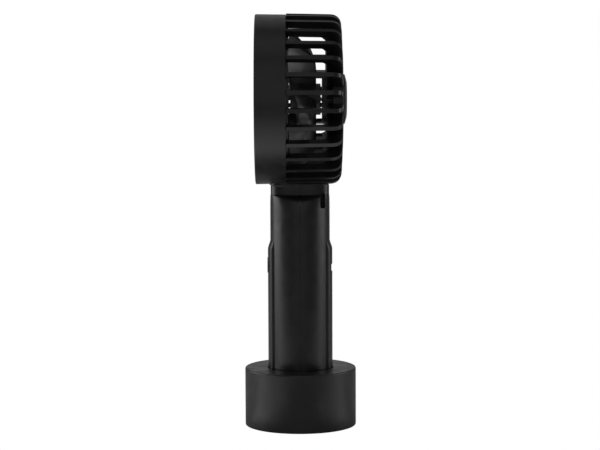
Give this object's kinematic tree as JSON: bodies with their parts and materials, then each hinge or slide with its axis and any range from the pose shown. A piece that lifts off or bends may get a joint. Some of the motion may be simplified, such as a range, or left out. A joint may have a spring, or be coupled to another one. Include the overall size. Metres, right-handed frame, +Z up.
{
  "type": "handheld electric fan",
  "caption": "Rechargeable handheld fan with a round head, finned rear cage, cylindrical handle and push button, standing in a round base.",
  "frame": {"origin": "the middle of the base's underside, on the surface that the fan stands on", "axes": "+Z up along the handle, -Y the way the fan blows (the front, with the button), +X to the right seen from the front"},
  "size_m": [0.0916, 0.06, 0.2226],
  "materials": {
    "base_black": "fine satin moulding texture, slightly greyer on the top face",
    "rubber_black": "matte rubber",
    "steel": "plated",
    "shell_black": "satin moulded plastic with a fine texture",
    "panel_black": "satin moulded plastic",
    "button_black": "satin moulded plastic",
    "lens_clear": "clear to milky",
    "board_green": "solder resist",
    "insulator_black": "moulded",
    "cell_wrap": "shrink wrap",
    "foam_grey": "open foam",
    "nickel": "plated strip",
    "grille_black": "satin moulded plastic",
    "blade_black": "semi-gloss moulded plastic",
    "winding_copper": "enamelled wire",
    "brass": "sintered",
    "lead_red": "wire insulation"
  },
  "bodies": {
    "base": {"base_cup": "base_black", "base_plate": "base_black", "base_foot_ring": "rubber_black", "socket_pad": "rubber_black", "base_screw_1": "steel", "base_screw_2": "steel", "base_screw_3": "steel"},
    "fan": {"front_shell": "shell_black", "rear_shell": "shell_black", "bottom_cap": "shell_black", "front_panel": "panel_black", "rear_panel": "panel_black", "case_screw_left": "steel", "case_screw_right": "steel", "light_guide": "lens_clear", "indicator_led": "lens_clear", "circuit_board": "board_green", "switch_body": "insulator_black", "usb_shell": "steel", "usb_tongue": "insulator_black", "battery_cell": "cell_wrap", "battery_foam": "foam_grey", "positive_tab": "nickel", "negative_tab": "nickel", "rear_cage": "grille_black", "hub_cover": "grille_black", "cage_screw_1": "steel", "cage_screw_2": "steel", "cage_screw_3": "steel", "cage_screw_4": "steel", "motor_can": "steel", "motor_bush": "brass", "motor_end_cap": "insulator_black", "motor_lead_red": "lead_red", "motor_lead_black": "insulator_black"},
    "power_button": {"power_button": "button_black"},
    "switch_plunger": {"switch_plunger": "insulator_black"},
    "front_grille": {"front_grille": "grille_black", "grille_cap": "panel_black"},
    "impeller": {"impeller": "blade_black", "motor_shaft": "steel", "motor_core": "winding_copper"}
  },
  "joints": [
    {"name": "fan_lift", "type": "slide", "parent": "base", "child": "fan", "axis": [0, 0, 1], "range_m": [0, 0.06]},
    {"name": "impeller_spin", "type": "hinge", "parent": "fan", "child": "impeller", "pos_m": [0, 0, 0.1769], "axis": [0, 1, 0], "continuous": true},
    {"name": "power_button_press", "type": "slide", "parent": "fan", "child": "power_button", "axis": [0, 1, 0], "range_m": [0, 0.0005], "stiffness_N_per_m": 1000, "springref_m": -0.0005},
    {"name": "switch_plunger_travel", "type": "slide", "parent": "fan", "child": "switch_plunger", "axis": [0, 1, 0], "range_m": [0, 0.0005]},
    {"name": "grille_pull", "type": "slide", "parent": "fan", "child": "front_grille", "axis": [0, -1, 0], "range_m": [0, 0.02]}
  ],
  "couplings": [
    {"joint": "switch_plunger_travel", "follows": "power_button_press", "ratio": 1}
  ]
}
